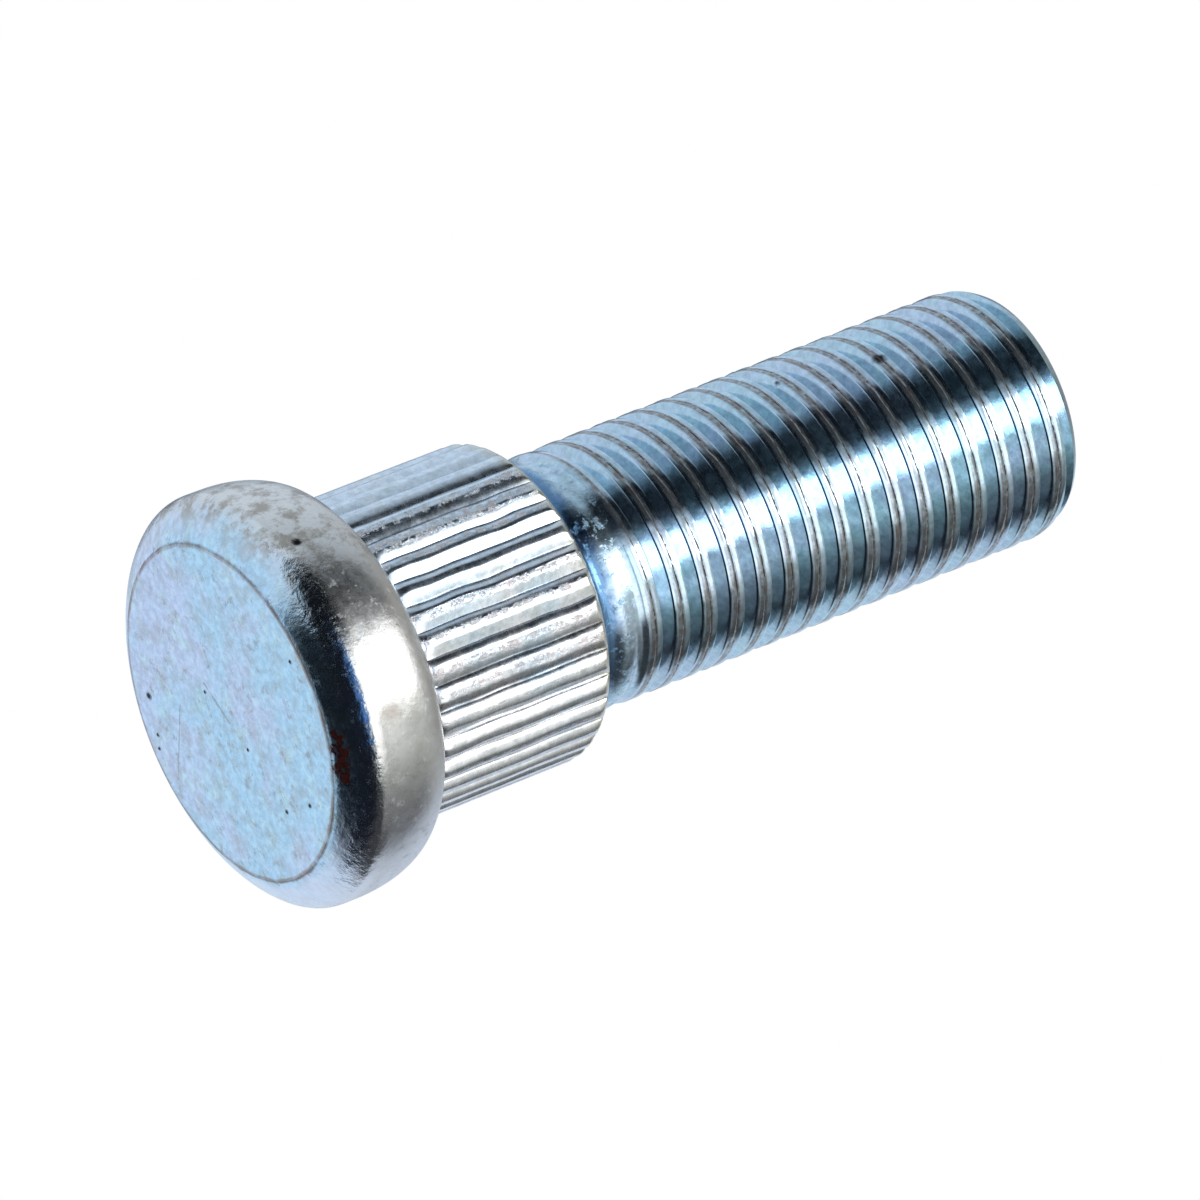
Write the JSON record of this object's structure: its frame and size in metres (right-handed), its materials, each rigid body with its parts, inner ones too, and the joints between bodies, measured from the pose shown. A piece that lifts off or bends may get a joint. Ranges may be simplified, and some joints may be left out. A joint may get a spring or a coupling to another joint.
{
  "type": "wheel stud",
  "caption": "Press-in wheel stud: round flat-faced head, straight-ribbed band that grips the hub, short neck and a long right-hand thread for the wheel nut.",
  "frame": {"origin": "centre of the head's flat face, which the stud stands on", "axes": "+Z along the stud's axis, from the head to the threaded tip"},
  "size_m": [0.019, 0.019, 0.0424],
  "materials": {
    "zinc_plating": "bright zinc plating with a blue passivated tint"
  },
  "bodies": {
    "root": {"wheel_stud": "zinc_plating"}
  },
  "joints": []
}
